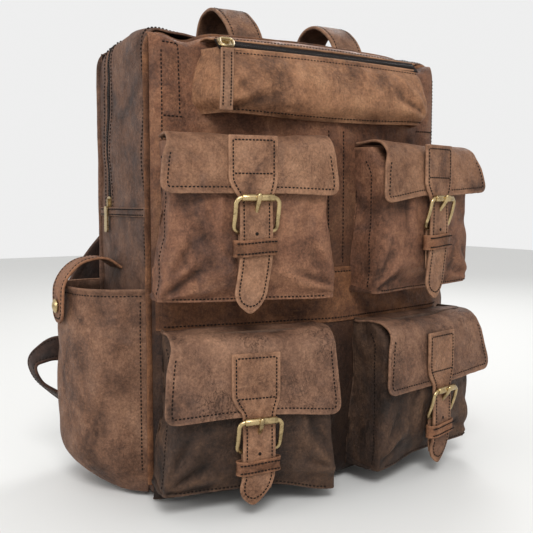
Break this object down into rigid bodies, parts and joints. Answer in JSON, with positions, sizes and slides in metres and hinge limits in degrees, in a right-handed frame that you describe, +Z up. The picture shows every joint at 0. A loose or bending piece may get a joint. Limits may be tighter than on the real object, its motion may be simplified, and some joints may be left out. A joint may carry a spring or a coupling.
{
  "type": "leather backpack",
  "caption": "Distressed leather backpack with a zipped main compartment and top pocket, buckled flap pockets, open side pockets, top handles and shoulder straps.",
  "frame": {"origin": "under the middle of the whole object, on the surface it stands on", "axes": "+Z up; the front with the flap pockets faces -Y; +X is to the right of somebody facing the front"},
  "size_m": [0.4508, 0.2532, 0.4362],
  "materials": {
    "leather_body": "oiled, worn",
    "leather_panel": "oiled, worn",
    "leather_pocket": "oiled, creased",
    "leather_flap": "oiled, rubbed light",
    "leather_strap": "oiled, rubbed light",
    "leather_top_pocket": "oiled, rubbed light",
    "leather_shoulder": "oiled, dark",
    "brass": "antique",
    "zip_tape": "woven",
    "lining": "cotton canvas"
  },
  "bodies": {
    "bag": {"front_panel": "leather_panel", "gusset_front": "leather_body", "gusset_rear": "leather_body", "gusset_base": "leather_body", "back_panel": "leather_body", "zip_tape_main": "zip_tape", "lining": "lining", "top_pocket": "leather_top_pocket", "zip_tape_top": "zip_tape", "side_pocket_left": "leather_pocket", "side_pocket_right": "leather_pocket", "snap_sockets": "brass", "handle_left": "leather_strap", "handle_right": "leather_strap", "pocket_upper_left": "leather_pocket", "pocket_upper_right": "leather_pocket", "pocket_lower_left": "leather_pocket", "pocket_lower_right": "leather_pocket"},
    "flap_top_upper_left_body": {"flap_top_upper_left": "leather_flap"},
    "flap_upper_left_body": {"flap_upper_left": "leather_flap", "strap_upper_left": "leather_strap", "buckle_upper_left": "brass", "keeper_upper_left": "leather_strap"},
    "roller_upper_left_body": {"roller_upper_left": "brass"},
    "prong_upper_left_body": {"prong_upper_left": "brass"},
    "flap_top_upper_right_body": {"flap_top_upper_right": "leather_flap"},
    "flap_upper_right_body": {"flap_upper_right": "leather_flap", "strap_upper_right": "leather_strap", "buckle_upper_right": "brass", "keeper_upper_right": "leather_strap"},
    "roller_upper_right_body": {"roller_upper_right": "brass"},
    "prong_upper_right_body": {"prong_upper_right": "brass"},
    "flap_top_lower_left_body": {"flap_top_lower_left": "leather_flap"},
    "flap_lower_left_body": {"flap_lower_left": "leather_flap", "strap_lower_left": "leather_strap", "buckle_lower_left": "brass", "keeper_lower_left": "leather_strap"},
    "roller_lower_left_body": {"roller_lower_left": "brass"},
    "prong_lower_left_body": {"prong_lower_left": "brass"},
    "flap_top_lower_right_body": {"flap_top_lower_right": "leather_flap"},
    "flap_lower_right_body": {"flap_lower_right": "leather_flap", "strap_lower_right": "leather_strap", "buckle_lower_right": "brass", "keeper_lower_right": "leather_strap"},
    "roller_lower_right_body": {"roller_lower_right": "brass"},
    "prong_lower_right_body": {"prong_lower_right": "brass"},
    "zip_slider_top_body": {"zip_slider_top": "brass"},
    "zip_pull_top_body": {"zip_pull_top": "leather_strap"},
    "zip_slider_main_body": {"zip_slider_main": "brass"},
    "zip_pull_main_body": {"zip_pull_main": "brass"},
    "side_tab_left_body": {"side_tab_left": "leather_strap", "side_snap_cap_left": "brass"},
    "shoulder_strap_left_body": {"shoulder_strap_left": "leather_shoulder", "strap_adjuster_left": "brass", "lower_strap_left": "leather_shoulder"},
    "side_tab_right_body": {"side_tab_right": "leather_strap", "side_snap_cap_right": "brass"},
    "shoulder_strap_right_body": {"shoulder_strap_right": "leather_shoulder", "strap_adjuster_right": "brass", "lower_strap_right": "leather_shoulder"}
  },
  "joints": [
    {"name": "flap_seam_upper_left", "type": "hinge", "parent": "bag", "child": "flap_top_upper_left_body", "pos_m": [-0.08933, -0.06381, 0.3069], "axis": [-0.9781, 0.2079, 0], "range_deg": [0, 13]},
    {"name": "flap_lift_upper_left", "type": "hinge", "parent": "flap_top_upper_left_body", "child": "flap_upper_left_body", "pos_m": [-0.09781, -0.10371, 0.3069], "axis": [-0.9781, 0.2079, 0], "range_deg": [0, 105]},
    {"name": "roller_spin_upper_left", "type": "hinge", "parent": "flap_upper_left_body", "child": "roller_upper_left_body", "pos_m": [-0.09936, -0.111, 0.258], "axis": [0.9781, -0.2079, 0], "continuous": true},
    {"name": "prong_tilt_upper_left", "type": "hinge", "parent": "flap_upper_left_body", "child": "prong_upper_left_body", "pos_m": [-0.09759, -0.10264, 0.231], "axis": [0.9781, -0.2079, 0], "range_deg": [0, 8]},
    {"name": "flap_seam_upper_right", "type": "hinge", "parent": "bag", "child": "flap_top_upper_right_body", "pos_m": [0.08933, -0.06381, 0.3069], "axis": [-0.9781, -0.2079, 0], "range_deg": [0, 13]},
    {"name": "flap_lift_upper_right", "type": "hinge", "parent": "flap_top_upper_right_body", "child": "flap_upper_right_body", "pos_m": [0.09781, -0.10371, 0.3069], "axis": [-0.9781, -0.2079, 0], "range_deg": [0, 105]},
    {"name": "roller_spin_upper_right", "type": "hinge", "parent": "flap_upper_right_body", "child": "roller_upper_right_body", "pos_m": [0.09936, -0.111, 0.258], "axis": [0.9781, 0.2079, 0], "continuous": true},
    {"name": "prong_tilt_upper_right", "type": "hinge", "parent": "flap_upper_right_body", "child": "prong_upper_right_body", "pos_m": [0.09759, -0.10264, 0.231], "axis": [0.9781, 0.2079, 0], "range_deg": [0, 8]},
    {"name": "flap_seam_lower_left", "type": "hinge", "parent": "bag", "child": "flap_top_lower_left_body", "pos_m": [-0.08933, -0.06381, 0.1529], "axis": [-0.9781, 0.2079, 0], "range_deg": [0, 9]},
    {"name": "flap_lift_lower_left", "type": "hinge", "parent": "flap_top_lower_left_body", "child": "flap_lower_left_body", "pos_m": [-0.09917, -0.11007, 0.1529], "axis": [-0.9781, 0.2079, 0], "range_deg": [0, 105]},
    {"name": "roller_spin_lower_left", "type": "hinge", "parent": "flap_lower_left_body", "child": "roller_lower_left_body", "pos_m": [-0.10072, -0.11736, 0.081], "axis": [0.9781, -0.2079, 0], "continuous": true},
    {"name": "prong_tilt_lower_left", "type": "hinge", "parent": "flap_lower_left_body", "child": "prong_lower_left_body", "pos_m": [-0.09894, -0.10899, 0.055], "axis": [0.9781, -0.2079, 0], "range_deg": [0, 8]},
    {"name": "flap_seam_lower_right", "type": "hinge", "parent": "bag", "child": "flap_top_lower_right_body", "pos_m": [0.08933, -0.06381, 0.1529], "axis": [-0.9781, -0.2079, 0], "range_deg": [0, 9]},
    {"name": "flap_lift_lower_right", "type": "hinge", "parent": "flap_top_lower_right_body", "child": "flap_lower_right_body", "pos_m": [0.09917, -0.11007, 0.1529], "axis": [-0.9781, -0.2079, 0], "range_deg": [0, 105]},
    {"name": "roller_spin_lower_right", "type": "hinge", "parent": "flap_lower_right_body", "child": "roller_lower_right_body", "pos_m": [0.10072, -0.11736, 0.081], "axis": [0.9781, 0.2079, 0], "continuous": true},
    {"name": "prong_tilt_lower_right", "type": "hinge", "parent": "flap_lower_right_body", "child": "prong_lower_right_body", "pos_m": [0.09894, -0.10899, 0.055], "axis": [0.9781, 0.2079, 0], "range_deg": [0, 8]},
    {"name": "top_zip_slide", "type": "slide", "parent": "bag", "child": "zip_slider_top_body", "axis": [1, 0, 0], "range_m": [0, 0.19]},
    {"name": "top_pull_swing", "type": "hinge", "parent": "zip_slider_top_body", "child": "zip_pull_top_body", "pos_m": [-0.108, -0.0749, 0.38596], "axis": [-1, 0, 0], "range_deg": [0, 100]},
    {"name": "main_zip_slide", "type": "slide", "parent": "bag", "child": "zip_slider_main_body", "axis": [0, 0, 1], "range_m": [0, 0.11]},
    {"name": "main_pull_swing", "type": "hinge", "parent": "zip_slider_main_body", "child": "zip_pull_main_body", "pos_m": [-0.1648, 0.05406, 0.2502], "axis": [0, 1, 0], "range_deg": [0, 100]},
    {"name": "side_tab_lift_left", "type": "hinge", "parent": "bag", "child": "side_tab_left_body", "pos_m": [-0.1622, 0.03606, 0.197], "axis": [0, 1, 0], "range_deg": [0, 50]},
    {"name": "strap_swing_left", "type": "hinge", "parent": "bag", "child": "shoulder_strap_left_body", "pos_m": [-0.0185, 0.08756, 0.384], "axis": [-0.2998, 0, -0.954], "range_deg": [0, 40], "stiffness_Nm_per_rad": 0.15},
    {"name": "side_tab_lift_right", "type": "hinge", "parent": "bag", "child": "side_tab_right_body", "pos_m": [0.1622, 0.03606, 0.197], "axis": [0, -1, 0], "range_deg": [0, 50]},
    {"name": "strap_swing_right", "type": "hinge", "parent": "bag", "child": "shoulder_strap_right_body", "pos_m": [0.0185, 0.08756, 0.384], "axis": [-0.2998, 0, 0.954], "range_deg": [0, 40], "stiffness_Nm_per_rad": 0.15}
  ],
  "couplings": [
    {"joint": "flap_seam_upper_left", "follows": "flap_lift_upper_left", "ratio": 0.12},
    {"joint": "flap_seam_upper_right", "follows": "flap_lift_upper_right", "ratio": 0.12},
    {"joint": "flap_seam_lower_left", "follows": "flap_lift_lower_left", "ratio": 0.08},
    {"joint": "flap_seam_lower_right", "follows": "flap_lift_lower_right", "ratio": 0.08}
  ]
}
